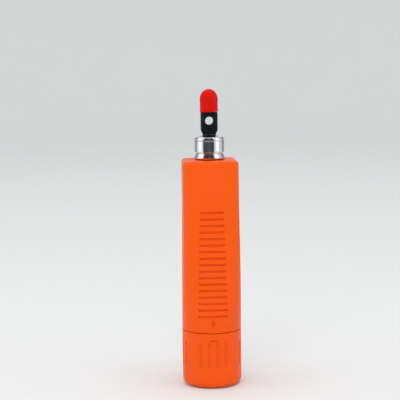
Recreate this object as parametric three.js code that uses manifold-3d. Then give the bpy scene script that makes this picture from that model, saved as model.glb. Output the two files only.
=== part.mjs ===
// Punch down tool with a fluted impact knob at the rear.
// Millimetres. The tool stands upright on its knob: +Z runs along its axis to
// the tip, and the grip's front face looks towards -Y.
import * as THREE from 'three';
import { mergeVertices } from 'three/addons/utils/BufferGeometryUtils.js';
import Module from 'manifold-3d';

const wasm = await Module();
wasm.setup();

// Driving dimensions. Heights are measured from the rear end face.
const GAP = 0.3;                 // clearance between neighbouring pieces
const OVERLAP = 1;               // how far a cutting shape runs past a face
const SEAM = 30.4;               // rear edge of the handle's grip
const HANDLE_TOP = 122.3;
const HALF_FRONT = 14.75;        // half the grip's side at the nose
const HALF_REAR = 16;            // and at the seam, where it is round
const CORNER_FRONT = 4.2;
const TAPER_START = 98;          // the squarish front section ends here
const CORNER_POWER = 2.3;        // how late the corners turn round
const TOP_FILLET = 2;
const GRIP_SIDES = 48;

const GROOVES = 17;
const GROOVE_FIRST = 39.5;
const GROOVE_PITCH = 3.475;
const GROOVE_WIDTH = 0.85;
const GROOVE_DEPTH = 0.8;
const GROOVE_LONG = 15.4;        // length of the rearmost groove
const GROOVE_SHORT = 12.3;       // and of the foremost

const BORE_RADIUS = 11.3;        // the handle's main bore
const BORE_END = 88;
const NOSE_BORE_RADIUS = 7.3;
const SPIGOT_RADIUS = 12.8;
const SPIGOT_END = 12;
const KEY_WIDTH = 3;             // keyways that stop the spring seat turning
const KEY_RADIUS = 12.1;
const KEY_TOP = 33;
const RING_LOW = 13.2;           // snap ring near the spigot's end
const RING_HIGH = 14.3;
const RING_INNER = 12.5;
const RING_OUTER = 13.6;
const RING_SPLIT = 2;            // half the gap in the ring

const KNOB_RADIUS = 16;
const KNOB_TOP = 30.1;
const KNOB_FILLET = 3.5;
const KNOB_WALL = 4;             // thickness of the knob's rear wall
const KNOB_STEP = 17.5;          // shoulder that meets the snap ring
const KNOB_WIDE = 13.9;
const KNOB_BORE = 13.1;
const CAP_RADIUS = 11.2;
const CAP_THICK = 3.2;
const FLUTE_LOW = 11.1;
const FLUTE_HIGH = 24.9;
const FLUTE_RADIUS = 1.1;
const FLUTE_CENTRE = 16.45;
const FLUTE_GROUPS = 4;
const FLUTES_IN_GROUP = 4;
const FLUTE_STEP = 17;           // degrees

const POST_RADIUS = 6;           // thrust post, washer and spring seat
const POST_TOP = 26;
const WASHER_RADIUS = 8;
const WASHER_HIGH = 27.5;
const SEAT_HOLE = 3;
const SEAT_HIGH = 31.8;
const SEAT_BOSS_RADIUS = 5.5;
const SEAT_BOSS = 36;
const MAIN_SPRING = { outer: 8.2, wire: 2, turns: 9 };

const TAIL_LOW = 108;            // the nose ferrule's tail in the handle
const TAIL_RADIUS = 7;
const FERRULE_TOP = 134.7;
const BAND_LOW = 126.4;          // polished band between the waist and the top ring
const BAND_HIGH = 132.3;
const FERRULE_RADIUS = 8;
const FERRULE_BORE = 5.4;

const RAM_RADIUS = 5.1;
const RAM_TOP = 134.4;
const FLANGE_RADIUS = 6.7;
const FLANGE_LOW = 103.6;
const FLANGE_HIGH = 107.6;
const STEM_RADIUS = 2.5;
const STEM_LOW = 80.3;
const SOCKET_RADIUS = 3.95;
const SOCKET_LOW = 112;
const PIN_HEIGHT = 129.2;        // the twist lock's cross pin
const PIN_RADIUS = 0.8;
const PIN_REACH = 4.7;
const SLOT_MARGIN = 16;          // degrees the lock's slots run past the pin
const CUP_RADIUS = 3.6;          // cup and spring behind the blade's shank
const CUP_INNER = 2.9;
const CUP_LOW = 117.6;
const CUP_FLOOR = 119.9;
const BLADE_SPRING = { outer: 2.6, wire: 0.7, turns: 5 };
const RETURN_SPRING = { outer: 4.85, wire: 0.9, turns: 7 };

const HAMMER_RADIUS = 8.3;
const HAMMER_LOW = 66;
const HAMMER_HIGH = 86;
const HAMMER_HOLE = 2.9;
const HAMMER_SLOT_BACK = -7.6;
const HAMMER_SLOT_HALF = 3.8;
const LATCH_LOW = 76;
const LATCH_HIGH = 80;
const LATCH_SHIFT = 1.3;         // how far the latch starts off centre
const LATCH_HOLE = 2.8;
const LATCH_BACK = -5.2;
const LATCH_HALF = 3.5;
const POCKET_FRONT = -2.2;       // pocket for the latch's spring
const POCKET_HALF = 1.6;
const POCKET_SKIN = 0.6;
const LATCH_SPRING = { outer: 1.2, wire: 0.45, low: 0, high: 3.3, turns: 4, stepsPerTurn: 10 };
const CAM_OUTER = 11;
const CAM_NARROW = 8.7;
const CAM_WIDE = 10.1;
const CAM_LOW = 58;
const CAM_TAPER_LOW = 65;
const CAM_TAPER_HIGH = 76.3;
const CAM_HIGH = 82;
const BUMPER_INNER = 5.6;

const SHANK_RADIUS = 3.65;
const SHANK_LOW = 121;
const NECK_TOP = 136;
const SHOULDER_TOP = 137.9;
const BLADE_HALF = 4.5;
const BLADE_THICK = 4;
const BLADE_HOLE = 2.15;
const HOLE_HEIGHT = 143.1;
const TONGUE_LOW = 147.6;
const TONGUE_TOP = 151;
const TONGUE_HALF = 3.1;
const TIP_SLOT = { half: 2.6, deep: 1.35, low: 146.1 };
const TIP_LOW = 146.4;           // the two steel tips side by side in the slot
const TIP_TOP = 156.8;
const TIP_HALF = 2.3;
const TIP_OUTER = 1.05;
const SEATING_INNER = 0.05;
const NOTCH_HALF = 0.6;
const NOTCH_DEPTH = 3;
const CUTTER_INNER = 0.25;
const CUTTER_EDGE = 0.1;
const CUTTER_BEVEL = 1.2;
const RIVET_HEIGHT = 148.9;
const RIVET_RADIUS = 0.8;
const RIVET_REACH = 2.1;

const GUARD_LOW = 147.9;
const GUARD_TOP = 160;
const GUARD_HALF = 4.9;
const GUARD_FLATTEN = 0.82;
const GUARD_DOME = 5.6;
const GUARD_MOUTH = { half: 3.4, deep: 2.3, top: 154 };
const GUARD_POCKET = { half: 2.6, deep: 1.5, top: 157.3 };

const degrees = THREE.MathUtils.degToRad;

// Geometry helpers ---------------------------------------------------------

function toSolid(geometry) {
  const bare = geometry.clone();
  bare.deleteAttribute('normal');
  bare.deleteAttribute('uv');
  const merged = mergeVertices(bare, 1e-5);
  return new wasm.Manifold(new wasm.Mesh({
    numProp: 3,
    vertProperties: merged.attributes.position.array,
    triVerts: Uint32Array.from(merged.index.array),
  }));
}

function toGeometry(solid) {
  const mesh = solid.getMesh();
  const geometry = new THREE.BufferGeometry();
  geometry.setAttribute('position', new THREE.BufferAttribute(mesh.vertProperties, 3));
  geometry.setIndex(new THREE.BufferAttribute(mesh.triVerts, 1));
  geometry.computeVertexNormals();
  return geometry;
}

// Upright cylinder between two heights.
function rod(radius, low, high, sides = 32) {
  return toSolid(new THREE.CylinderGeometry(radius, radius, high - low, sides)
    .rotateX(Math.PI / 2)
    .translate(0, 0, (low + high) / 2));
}

// Upright cone frustum between two heights.
function cone(lowRadius, highRadius, low, high, sides = 32) {
  return toSolid(new THREE.CylinderGeometry(highRadius, lowRadius, high - low, sides)
    .rotateX(Math.PI / 2)
    .translate(0, 0, (low + high) / 2));
}

function block(xRange, yRange, zRange) {
  const size = [xRange, yRange, zRange].map(([low, high]) => high - low);
  const middle = [xRange, yRange, zRange].map(([low, high]) => (low + high) / 2);
  return toSolid(new THREE.BoxGeometry(...size).translate(...middle));
}

// Cylinder along Y or X, centred on the tool's axis at one height.
function crossRod(radius, reach, height, along, sides = 20) {
  const geometry = new THREE.CylinderGeometry(radius, radius, 2 * reach, sides);
  if (along === 'x') {
    geometry.rotateZ(Math.PI / 2);
  }
  return toSolid(geometry.translate(0, 0, height));
}

// Solid of revolution about Z from [radius, height] pairs.
function turned(profile, sides = 32) {
  const points = profile.map(([radius, height]) => new THREE.Vector2(radius, height));
  return toSolid(new THREE.LatheGeometry(points, sides).rotateX(Math.PI / 2));
}

class Helix extends THREE.Curve {
  constructor(radius, low, high, turns) {
    super();
    Object.assign(this, { radius, low, high, turns });
  }

  getPoint(t, target = new THREE.Vector3()) {
    const angle = 2 * Math.PI * this.turns * t;
    return target.set(
      this.radius * Math.cos(angle),
      this.radius * Math.sin(angle),
      this.low + (this.high - this.low) * t,
    );
  }
}

function ringShape(radius, sides) {
  const shape = new THREE.Shape();
  for (let i = 0; i < sides; i += 1) {
    const angle = (2 * Math.PI * i) / sides;
    const x = radius * Math.cos(angle);
    const y = radius * Math.sin(angle);
    if (i === 0) {
      shape.moveTo(x, y);
    } else {
      shape.lineTo(x, y);
    }
  }
  shape.closePath();
  return shape;
}

// Coil spring that fills the height from low to high.
function coil({ outer, wire, low, high, turns, stepsPerTurn = 11 }) {
  const path = new Helix(outer - wire / 2, low + wire / 2, high - wire / 2, turns);
  return new THREE.ExtrudeGeometry(ringShape(wire / 2, 6), {
    steps: turns * stepsPerTurn,
    bevelEnabled: false,
    extrudePath: path,
  });
}

// Slice of a flat ring, extruded upwards.
function sector(inner, outer, fromDegrees, toDegrees, low, high) {
  const shape = new THREE.Shape();
  shape.absarc(0, 0, outer, degrees(fromDegrees), degrees(toDegrees), false);
  shape.absarc(0, 0, inner, degrees(toDegrees), degrees(fromDegrees), true);
  shape.closePath();
  const geometry = new THREE.ExtrudeGeometry(shape, {
    depth: high - low,
    bevelEnabled: false,
    curveSegments: 14,
  });
  return toSolid(geometry.translate(0, 0, low));
}

// Handle body --------------------------------------------------------------

function gripHalf(height) {
  const share = Math.min(Math.max((TAPER_START - height) / (TAPER_START - SEAM), 0), 1);
  return HALF_FRONT + (HALF_REAR - HALF_FRONT) * share;
}

function gripCorner(height) {
  const share = Math.min(Math.max((TAPER_START - height) / (TAPER_START - SEAM), 0), 1);
  return CORNER_FRONT + (HALF_REAR - CORNER_FRONT) * share ** CORNER_POWER;
}

// Distance from the axis to a rounded square's edge in one direction.
function roundedSquareRadius(angle, half, corner) {
  const u = Math.max(Math.abs(Math.cos(angle)), Math.abs(Math.sin(angle)));
  const v = Math.min(Math.abs(Math.cos(angle)), Math.abs(Math.sin(angle)));
  const core = half - corner;
  if ((half * v) / u <= core) {
    return half / u;
  }
  const reach = core * (u + v);
  return reach + Math.sqrt(Math.max(reach * reach - 2 * core * core + corner * corner, 0));
}

// Heights of the grip's cross-sections, with how far each is drawn in.
function gripStations() {
  const stations = [];
  const straight = 7;
  const arcSteps = 3;
  const arcStart = HANDLE_TOP - TOP_FILLET;
  stations.push({ height: SEAM, inset: 0.5 });
  stations.push({ height: SEAM + 0.5, inset: 0 });
  for (let i = 1; i <= straight; i += 1) {
    stations.push({ height: SEAM + ((TAPER_START - SEAM) * i) / straight, inset: 0 });
  }
  for (let i = 0; i <= arcSteps; i += 1) {
    const angle = (Math.PI / 2) * (i / arcSteps);
    stations.push({
      height: arcStart + TOP_FILLET * Math.sin(angle),
      inset: TOP_FILLET * (1 - Math.cos(angle)),
    });
  }
  return stations;
}

// A unit cylinder, drawn out to the grip's cross-section at each height.
function gripSolid() {
  const stations = gripStations();
  const rows = stations.length - 1;
  const geometry = new THREE.CylinderGeometry(1, 1, rows, GRIP_SIDES, rows)
    .rotateX(Math.PI / 2)
    .translate(0, 0, rows / 2);
  const position = geometry.attributes.position;
  for (let i = 0; i < position.count; i += 1) {
    const { height, inset } = stations[Math.round(position.getZ(i))];
    const angle = Math.atan2(position.getY(i), position.getX(i));
    const corner = Math.max(gripCorner(height) - inset, 1);
    const reach = roundedSquareRadius(angle, gripHalf(height) - inset, corner);
    position.setXYZ(i, position.getX(i) * reach, position.getY(i) * reach, height);
  }
  return toSolid(geometry);
}

function grooveCutters() {
  const cutters = [];
  for (let i = 0; i < GROOVES; i += 1) {
    const height = GROOVE_FIRST + i * GROOVE_PITCH;
    const length = GROOVE_LONG + ((GROOVE_SHORT - GROOVE_LONG) * i) / (GROOVES - 1);
    const floor = gripHalf(height) - GROOVE_DEPTH;
    const zRange = [height - GROOVE_WIDTH / 2, height + GROOVE_WIDTH / 2];
    const outside = HALF_REAR + OVERLAP;
    for (const yRange of [[-outside, -floor], [floor, outside]]) {
      cutters.push(block([-length / 2, length / 2], yRange, zRange));
    }
  }
  return cutters;
}

function makeHandleBody() {
  let body = gripSolid().add(rod(SPIGOT_RADIUS, SPIGOT_END, SEAM + OVERLAP, 32));
  body = body.subtract(rod(BORE_RADIUS, SPIGOT_END - OVERLAP, BORE_END, 32));
  body = body.subtract(rod(NOSE_BORE_RADIUS, BORE_END - OVERLAP, HANDLE_TOP + OVERLAP));
  body = body.subtract(block([-KEY_WIDTH / 2, KEY_WIDTH / 2], [-KEY_RADIUS, KEY_RADIUS],
    [SPIGOT_END - OVERLAP, KEY_TOP]));
  const ringGroove = rod(SPIGOT_RADIUS + OVERLAP, RING_LOW - GAP, RING_HIGH + GAP, 32)
    .subtract(rod(RING_INNER - GAP, RING_LOW - OVERLAP, RING_HIGH + OVERLAP, 32));
  body = body.subtract(ringGroove);
  for (const cutter of grooveCutters()) {
    body = body.subtract(cutter);
  }
  return toGeometry(body);
}

// Nose ---------------------------------------------------------------------

function makeNoseFerrule() {
  const r = FERRULE_RADIUS;
  const foot = HANDLE_TOP + GAP;
  const body = turned([
    [FERRULE_BORE, TAIL_LOW],
    [TAIL_RADIUS, TAIL_LOW],
    [TAIL_RADIUS, foot],
    [r - 0.4, foot],
    [r + 0.1, foot + 0.5],
    [r + 0.2, foot + 1.1],
    [r - 0.45, BAND_LOW - 0.7],
    [r - 0.6, BAND_LOW - 0.3],
    [r, BAND_LOW],
    [r, BAND_HIGH],
    [r - 0.25, BAND_HIGH + 0.2],
    [r, BAND_HIGH + 0.4],
    [r - 0.05, BAND_HIGH + 1.3],
    [r - 0.5, BAND_HIGH + 2.05],
    [r - 1.1, FERRULE_TOP],
    [FERRULE_BORE + 0.2, FERRULE_TOP],
    [FERRULE_BORE, FERRULE_TOP - 0.2],
    [FERRULE_BORE, TAIL_LOW],
  ]);
  return toGeometry(body);
}

// Mechanism ----------------------------------------------------------------

function makeRam() {
  let ram = rod(RAM_RADIUS, FLANGE_LOW + OVERLAP, RAM_TOP);
  ram = ram.add(rod(FLANGE_RADIUS, FLANGE_LOW, FLANGE_HIGH));
  ram = ram.add(rod(STEM_RADIUS, STEM_LOW, FLANGE_LOW + OVERLAP, 24));
  ram = ram.subtract(rod(SOCKET_RADIUS, SOCKET_LOW, RAM_TOP + OVERLAP));
  const slotLow = PIN_HEIGHT - PIN_RADIUS - 0.5;
  const slotHigh = PIN_HEIGHT + PIN_RADIUS + 0.5;
  for (const start of [0, 180]) {
    const inner = SOCKET_RADIUS - 0.5;
    const outer = RAM_RADIUS + OVERLAP;
    ram = ram.subtract(sector(inner, outer, start - SLOT_MARGIN, start + 90 + SLOT_MARGIN,
      slotLow, slotHigh));
    ram = ram.subtract(sector(inner, outer, start + 90 - SLOT_MARGIN, start + 90 + SLOT_MARGIN,
      slotHigh - 0.1, RAM_TOP + OVERLAP));
  }
  return toGeometry(ram);
}

function makeBladeCup() {
  const cup = rod(CUP_RADIUS, CUP_LOW, SHANK_LOW - GAP, 24);
  return toGeometry(cup.subtract(rod(CUP_INNER, CUP_LOW - OVERLAP, CUP_FLOOR, 24)));
}

function makeHammer() {
  let hammer = rod(HAMMER_RADIUS, HAMMER_LOW, HAMMER_HIGH);
  hammer = hammer.subtract(rod(HAMMER_HOLE, HAMMER_LOW - OVERLAP, HAMMER_HIGH + OVERLAP, 24));
  const slot = block([HAMMER_SLOT_BACK, HAMMER_RADIUS + OVERLAP],
    [-HAMMER_SLOT_HALF, HAMMER_SLOT_HALF], [LATCH_LOW - GAP, LATCH_HIGH + GAP]);
  return toGeometry(hammer.subtract(slot));
}

function makeLatch() {
  const reach = HAMMER_RADIUS + LATCH_SHIFT;
  let latch = block([LATCH_BACK, reach + OVERLAP], [-LATCH_HALF, LATCH_HALF],
    [LATCH_LOW, LATCH_HIGH]);
  latch = latch.intersect(rod(reach, LATCH_LOW - OVERLAP, LATCH_HIGH + OVERLAP, 48));
  const hole = rod(LATCH_HOLE, LATCH_LOW - OVERLAP, LATCH_HIGH + OVERLAP, 24)
    .translate([LATCH_SHIFT, 0, 0]);
  const pocket = block([LATCH_BACK - OVERLAP, POCKET_FRONT], [-POCKET_HALF, POCKET_HALF],
    [LATCH_LOW + POCKET_SKIN, LATCH_HIGH - POCKET_SKIN]);
  return toGeometry(latch.subtract(hole).subtract(pocket));
}

function makeLatchSpring() {
  return coil(LATCH_SPRING)
    .rotateY(Math.PI / 2)
    .translate(HAMMER_SLOT_BACK + GAP, 0, (LATCH_LOW + LATCH_HIGH) / 2);
}

function makeCamSleeve() {
  let sleeve = rod(CAM_OUTER, CAM_LOW, CAM_HIGH, 32);
  sleeve = sleeve.subtract(rod(CAM_NARROW, CAM_LOW - OVERLAP, CAM_TAPER_LOW + 0.5, 32));
  sleeve = sleeve.subtract(cone(CAM_NARROW, CAM_WIDE, CAM_TAPER_LOW, CAM_TAPER_HIGH, 32));
  sleeve = sleeve.subtract(rod(CAM_WIDE, CAM_TAPER_HIGH - 0.1, CAM_HIGH + OVERLAP, 32));
  return toGeometry(sleeve);
}

function washer(inner, outer, low, high, sides = 32) {
  return rod(outer, low, high, sides).subtract(rod(inner, low - OVERLAP, high + OVERLAP, sides));
}

function makeSpringSeat() {
  const low = WASHER_HIGH + GAP;
  let seat = rod(BORE_RADIUS - GAP, low, SEAT_HIGH, 40);
  seat = seat.add(rod(SEAT_BOSS_RADIUS, low + OVERLAP, SEAT_BOSS));
  const reach = KEY_RADIUS - GAP;
  const half = KEY_WIDTH / 2 - GAP;
  seat = seat.add(block([-half, half], [-reach, reach], [low, SEAT_HIGH]));
  return toGeometry(seat.subtract(rod(SEAT_HOLE, low - OVERLAP, SEAT_BOSS + OVERLAP, 24)));
}

function makeStopRing() {
  const ring = washer(RING_INNER, RING_OUTER, RING_LOW, RING_HIGH, 32);
  const split = block([-RING_SPLIT, RING_SPLIT], [0, RING_OUTER + OVERLAP],
    [RING_LOW - OVERLAP, RING_HIGH + OVERLAP]);
  return toGeometry(ring.subtract(split));
}

// Knob ---------------------------------------------------------------------

function makeKnobShell() {
  const profile = [[CAP_RADIUS + GAP, 0]];
  const steps = 4;
  for (let i = 0; i <= steps; i += 1) {
    const angle = (Math.PI / 2) * (i / steps);
    profile.push([
      KNOB_RADIUS - KNOB_FILLET * (1 - Math.sin(angle)),
      KNOB_FILLET * (1 - Math.cos(angle)),
    ]);
  }
  profile.push([KNOB_RADIUS, KNOB_TOP - 0.5], [KNOB_RADIUS - 0.5, KNOB_TOP]);
  profile.push([KNOB_BORE, KNOB_TOP], [KNOB_BORE, KNOB_STEP], [KNOB_WIDE, KNOB_STEP]);
  profile.push([KNOB_WIDE, KNOB_WALL], [CAP_RADIUS + GAP, KNOB_WALL], [CAP_RADIUS + GAP, 0]);
  let shell = turned(profile, 48);
  for (let group = 0; group < FLUTE_GROUPS; group += 1) {
    for (let i = 0; i < FLUTES_IN_GROUP; i += 1) {
      const side = (360 / FLUTE_GROUPS) * group - 90;
      const angle = degrees(side + (i - (FLUTES_IN_GROUP - 1) / 2) * FLUTE_STEP);
      const flute = rod(FLUTE_RADIUS, FLUTE_LOW, FLUTE_HIGH, 8)
        .translate([FLUTE_CENTRE * Math.cos(angle), FLUTE_CENTRE * Math.sin(angle), 0]);
      shell = shell.subtract(flute);
    }
  }
  return toGeometry(shell);
}

function makeKnobEndCap() {
  const cap = rod(CAP_RADIUS, 0, CAP_THICK, 32);
  return toGeometry(cap.add(rod(POST_RADIUS, OVERLAP, POST_TOP)));
}

// Blade and guard ----------------------------------------------------------

function bladeOutline() {
  const shape = new THREE.Shape();
  const neck = SHANK_RADIUS - 0.15;
  shape.moveTo(-neck, RAM_TOP + GAP);
  shape.lineTo(neck, RAM_TOP + GAP);
  shape.lineTo(neck, NECK_TOP);
  shape.lineTo(BLADE_HALF, SHOULDER_TOP);
  shape.lineTo(BLADE_HALF, TONGUE_LOW);
  shape.lineTo(TONGUE_HALF, TONGUE_LOW);
  shape.lineTo(TONGUE_HALF, TONGUE_TOP);
  shape.lineTo(-TONGUE_HALF, TONGUE_TOP);
  shape.lineTo(-TONGUE_HALF, TONGUE_LOW);
  shape.lineTo(-BLADE_HALF, TONGUE_LOW);
  shape.lineTo(-BLADE_HALF, SHOULDER_TOP);
  shape.lineTo(-neck, NECK_TOP);
  shape.closePath();
  const hole = new THREE.Path();
  hole.absarc(0, HOLE_HEIGHT, BLADE_HOLE, 0, 2 * Math.PI, true);
  shape.holes.push(hole);
  return shape;
}

function rivetHole() {
  return crossRod(RIVET_RADIUS + GAP, RIVET_REACH + OVERLAP, RIVET_HEIGHT, 'y', 16);
}

function makeBladeBody() {
  const flat = new THREE.ExtrudeGeometry(bladeOutline(), {
    depth: BLADE_THICK,
    bevelEnabled: false,
    curveSegments: 20,
  });
  flat.rotateX(Math.PI / 2).translate(0, BLADE_THICK / 2, 0);
  let blade = toSolid(flat).add(rod(SHANK_RADIUS, SHANK_LOW, NECK_TOP));
  blade = blade.subtract(block([-TIP_SLOT.half, TIP_SLOT.half], [-TIP_SLOT.deep, TIP_SLOT.deep],
    [TIP_SLOT.low, TONGUE_TOP + OVERLAP]));
  blade = blade.subtract(rivetHole());
  blade = blade.subtract(crossRod(PIN_RADIUS + GAP, PIN_REACH + OVERLAP, PIN_HEIGHT, 'x', 16));
  return toGeometry(blade);
}

function makeSeatingTip() {
  let tip = block([-TIP_HALF, TIP_HALF], [-TIP_OUTER, -SEATING_INNER], [TIP_LOW, TIP_TOP]);
  tip = tip.subtract(block([-NOTCH_HALF, NOTCH_HALF], [-TIP_OUTER - OVERLAP, OVERLAP],
    [TIP_TOP - NOTCH_DEPTH, TIP_TOP + OVERLAP]));
  return toGeometry(tip.subtract(rivetHole()));
}

function makeCutBlade() {
  const shape = new THREE.Shape();
  shape.moveTo(CUTTER_INNER, TIP_LOW);
  shape.lineTo(TIP_OUTER, TIP_LOW);
  shape.lineTo(TIP_OUTER, TIP_TOP - CUTTER_BEVEL);
  shape.lineTo(CUTTER_INNER + CUTTER_EDGE, TIP_TOP);
  shape.lineTo(CUTTER_INNER, TIP_TOP);
  shape.closePath();
  const plate = new THREE.ExtrudeGeometry(shape, { depth: 2 * TIP_HALF, bevelEnabled: false });
  // The outline's first axis becomes Y and its second Z.
  plate.applyMatrix4(new THREE.Matrix4().makeBasis(
    new THREE.Vector3(0, 1, 0), new THREE.Vector3(0, 0, 1), new THREE.Vector3(1, 0, 0)));
  plate.translate(-TIP_HALF, 0, 0);
  return toGeometry(toSolid(plate).subtract(rivetHole()));
}

function makeTipGuard() {
  const side = GUARD_TOP - GUARD_DOME;
  const profile = [[0, GUARD_LOW], [GUARD_HALF - 0.3, GUARD_LOW], [GUARD_HALF, GUARD_LOW + 0.3]];
  const steps = 8;
  for (let i = 0; i < steps; i += 1) {
    const angle = (Math.PI / 2) * (i / steps);
    profile.push([GUARD_HALF * Math.cos(angle), side + GUARD_DOME * Math.sin(angle)]);
  }
  profile.push([0, GUARD_TOP]);
  const points = profile.map(([radius, height]) => new THREE.Vector2(radius, height));
  const outer = new THREE.LatheGeometry(points, 32).rotateX(Math.PI / 2).scale(1, GUARD_FLATTEN, 1);
  let guard = toSolid(outer);
  for (const { half, deep, top } of [GUARD_MOUTH, GUARD_POCKET]) {
    guard = guard.subtract(block([-half, half], [-deep, deep], [GUARD_LOW - OVERLAP, top]));
  }
  return toGeometry(guard);
}

// Finishes -----------------------------------------------------------------

const finishes = {
  orange: { color: 0xee4a0a, roughness: 0.38, metalness: 0 },
  chrome: { color: 0xd6d8da, roughness: 0.12, metalness: 1 },
  steel: { color: 0x9a9ca0, roughness: 0.35, metalness: 1 },
  blackOxide: { color: 0x14181b, roughness: 0.45, metalness: 0.6 },
  springSteel: { color: 0x7d8084, roughness: 0.3, metalness: 1 },
  red: { color: 0xdc1408, roughness: 0.42, metalness: 0 },
  urethane: { color: 0x2a2a2c, roughness: 0.7, metalness: 0 },
};

const tool = new THREE.Group();

function addPart(name, geometry, finish) {
  const mesh = new THREE.Mesh(geometry, new THREE.MeshStandardMaterial(finishes[finish]));
  mesh.name = name;
  tool.add(mesh);
}

addPart('handle_body', makeHandleBody(), 'orange');
addPart('nose_ferrule', makeNoseFerrule(), 'chrome');
addPart('cam_sleeve', makeCamSleeve(), 'steel');
addPart('bumper_ring', toGeometry(
  washer(BUMPER_INNER, CAM_OUTER, HAMMER_HIGH + GAP, BORE_END - GAP)), 'urethane');
addPart('stop_ring', makeStopRing(), 'springSteel');

addPart('ram', makeRam(), 'steel');
addPart('blade_cup', makeBladeCup(), 'steel');
addPart('blade_spring', coil({
  ...BLADE_SPRING, low: SOCKET_LOW + GAP, high: CUP_FLOOR - GAP,
}), 'springSteel');
addPart('return_spring', coil({
  ...RETURN_SPRING, low: HAMMER_HIGH + GAP, high: FLANGE_LOW - GAP,
}), 'springSteel');

addPart('hammer', makeHammer(), 'steel');
addPart('latch_spring', makeLatchSpring(), 'springSteel');
addPart('latch', makeLatch(), 'steel');

addPart('spring_seat', makeSpringSeat(), 'steel');
addPart('main_spring', coil({
  ...MAIN_SPRING, low: SEAT_HIGH + GAP, high: HAMMER_LOW - GAP,
}), 'springSteel');

addPart('knob_shell', makeKnobShell(), 'orange');
addPart('knob_end_cap', makeKnobEndCap(), 'orange');
addPart('thrust_washer', toGeometry(
  washer(SEAT_HOLE, WASHER_RADIUS, POST_TOP + GAP, WASHER_HIGH)), 'steel');

addPart('blade_body', makeBladeBody(), 'blackOxide');
addPart('blade_pin', toGeometry(crossRod(PIN_RADIUS, PIN_REACH, PIN_HEIGHT, 'x', 16)), 'steel');
addPart('seating_tip', makeSeatingTip(), 'steel');
addPart('cut_blade', makeCutBlade(), 'steel');
addPart('tip_rivet', toGeometry(crossRod(RIVET_RADIUS, RIVET_REACH, RIVET_HEIGHT, 'y', 16)), 'steel');

addPart('tip_guard', makeTipGuard(), 'red');

export default tool;
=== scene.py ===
"""Punch down tool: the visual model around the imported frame.

The tool stands upright on its rear knob. Its axis is Z, the tip is up and
the grip's front looks towards -Y. Shapes are worked in millimetres and
become metres when a piece is finished.
"""

import logging
import math
from collections.abc import Callable, Iterable, Sequence
from dataclasses import dataclass
from enum import Enum

import bmesh
import bpy
from mathutils import Matrix, Quaternion, Vector


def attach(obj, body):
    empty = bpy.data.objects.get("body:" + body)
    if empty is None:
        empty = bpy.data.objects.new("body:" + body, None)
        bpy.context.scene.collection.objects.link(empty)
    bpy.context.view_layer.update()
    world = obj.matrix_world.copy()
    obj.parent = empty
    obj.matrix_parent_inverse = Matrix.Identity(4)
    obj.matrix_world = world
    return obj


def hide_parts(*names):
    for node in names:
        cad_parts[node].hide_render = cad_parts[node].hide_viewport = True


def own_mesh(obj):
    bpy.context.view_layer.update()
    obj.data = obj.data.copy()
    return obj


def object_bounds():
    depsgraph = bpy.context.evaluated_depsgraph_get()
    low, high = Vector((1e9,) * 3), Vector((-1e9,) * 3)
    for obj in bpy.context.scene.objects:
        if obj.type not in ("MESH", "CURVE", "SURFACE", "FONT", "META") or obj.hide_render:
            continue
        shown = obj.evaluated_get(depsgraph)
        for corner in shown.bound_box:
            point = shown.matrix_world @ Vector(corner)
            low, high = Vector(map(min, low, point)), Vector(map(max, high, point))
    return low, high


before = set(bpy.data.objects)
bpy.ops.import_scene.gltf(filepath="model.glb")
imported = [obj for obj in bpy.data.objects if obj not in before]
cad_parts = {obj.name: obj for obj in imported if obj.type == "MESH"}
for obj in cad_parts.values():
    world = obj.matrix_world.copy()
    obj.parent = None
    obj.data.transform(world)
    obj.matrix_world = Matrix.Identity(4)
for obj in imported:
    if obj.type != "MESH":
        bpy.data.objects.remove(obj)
CAD_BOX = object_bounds()

MM = 0.001
LOG = logging.getLogger("punch_down_tool")

Point = tuple[float, float, float]
Colour = tuple[float, float, float]
Pair = tuple[float, float]
Profile = Sequence[Pair]

# A socket's name or number, to a value or to a socket to link from.
Inputs = dict[str | int, object]

# Points nearer the axis than this lie on it.
ON_AXIS = 1e-6


# Shape helpers


def ease(value: float) -> float:
    """Smooth step from 0 to 1, held flat outside that range."""
    t = min(max(value, 0.0), 1.0)
    return t * t * (3 - 2 * t)


def spaced(start: float, end: float, step: float) -> list[float]:
    """Even stops from start to end, both included, at most a step apart."""
    count = max(1, math.ceil(abs(end - start) / step))
    return [start + (end - start) * i / count for i in range(count + 1)]


def quarter(steps: int) -> list[Pair]:
    """Sine and cosine at even steps of a quarter turn, both ends included."""
    angles = [math.pi / 2 * i / steps for i in range(steps + 1)]
    return [(math.sin(angle), math.cos(angle)) for angle in angles]


def circle(middle: Pair, radius: float, count: int) -> list[Pair]:
    """Points of a circle, evenly spaced."""
    angles = [2 * math.pi * i / count for i in range(count)]
    return [(middle[0] + radius * math.cos(a), middle[1] + radius * math.sin(a)) for a in angles]


def oblong(left: float, right: float, low: float, high: float) -> list[Pair]:
    """A box's outline, or a plain ring's section between two radii."""
    return [(left, low), (right, low), (right, high), (left, high)]


def mirrored(right: Profile) -> list[Pair]:
    """A closed outline from its right half, going up."""
    return [*right, *((-x, z) for x, z in reversed(right))]


def rounded(profile: Profile, radius: float, steps: int = 3) -> list[Pair]:
    """Rounds the corners of a closed profile that don't lie on the axis.

    Args:
        profile: corner points (radius, height) in order.
        radius: how far back along each side a corner's round starts.
        steps: number of chords in each round.

    Returns:
        The profile with a short curve at each corner.
    """
    most = 0.45  # of a side, so that its two rounds never meet
    points = [Vector(p) for p in profile]
    result: list[Pair] = []
    for i, corner in enumerate(points):
        if corner.x < ON_AXIS:
            result.append(tuple(corner))
            continue
        ends = []
        for other in (points[i - 1], points[(i + 1) % len(points)]):
            side = other - corner
            ends.append(corner + side.normalized() * min(radius, side.length * most))
        for j in range(steps + 1):
            t = j / steps
            point = ends[0] * (1 - t) ** 2 + corner * 2 * t * (1 - t) + ends[1] * t * t
            result.append(tuple(point))
    return result


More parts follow.
